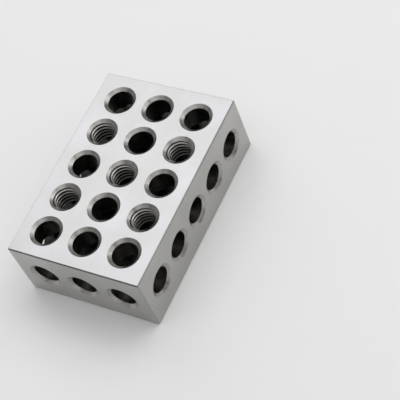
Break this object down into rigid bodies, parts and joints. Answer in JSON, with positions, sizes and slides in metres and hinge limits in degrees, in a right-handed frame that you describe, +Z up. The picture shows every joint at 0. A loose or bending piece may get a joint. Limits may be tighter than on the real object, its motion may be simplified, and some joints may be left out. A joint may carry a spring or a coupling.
{
  "type": "machinist setup block",
  "caption": "Rectangular ground-steel setup block with a grid of plain and tapped holes through all three directions.",
  "frame": {"origin": "centre of the bottom 2 x 3 inch face", "axes": "+X along the length, +Y across the width, +Z up through the height"},
  "size_m": [0.0762, 0.0508, 0.0254],
  "materials": {
    "ground_steel": "satin ground on the six faces, darker inside the holes"
  },
  "bodies": {
    "root": {"setup_block": "ground_steel"}
  },
  "joints": []
}
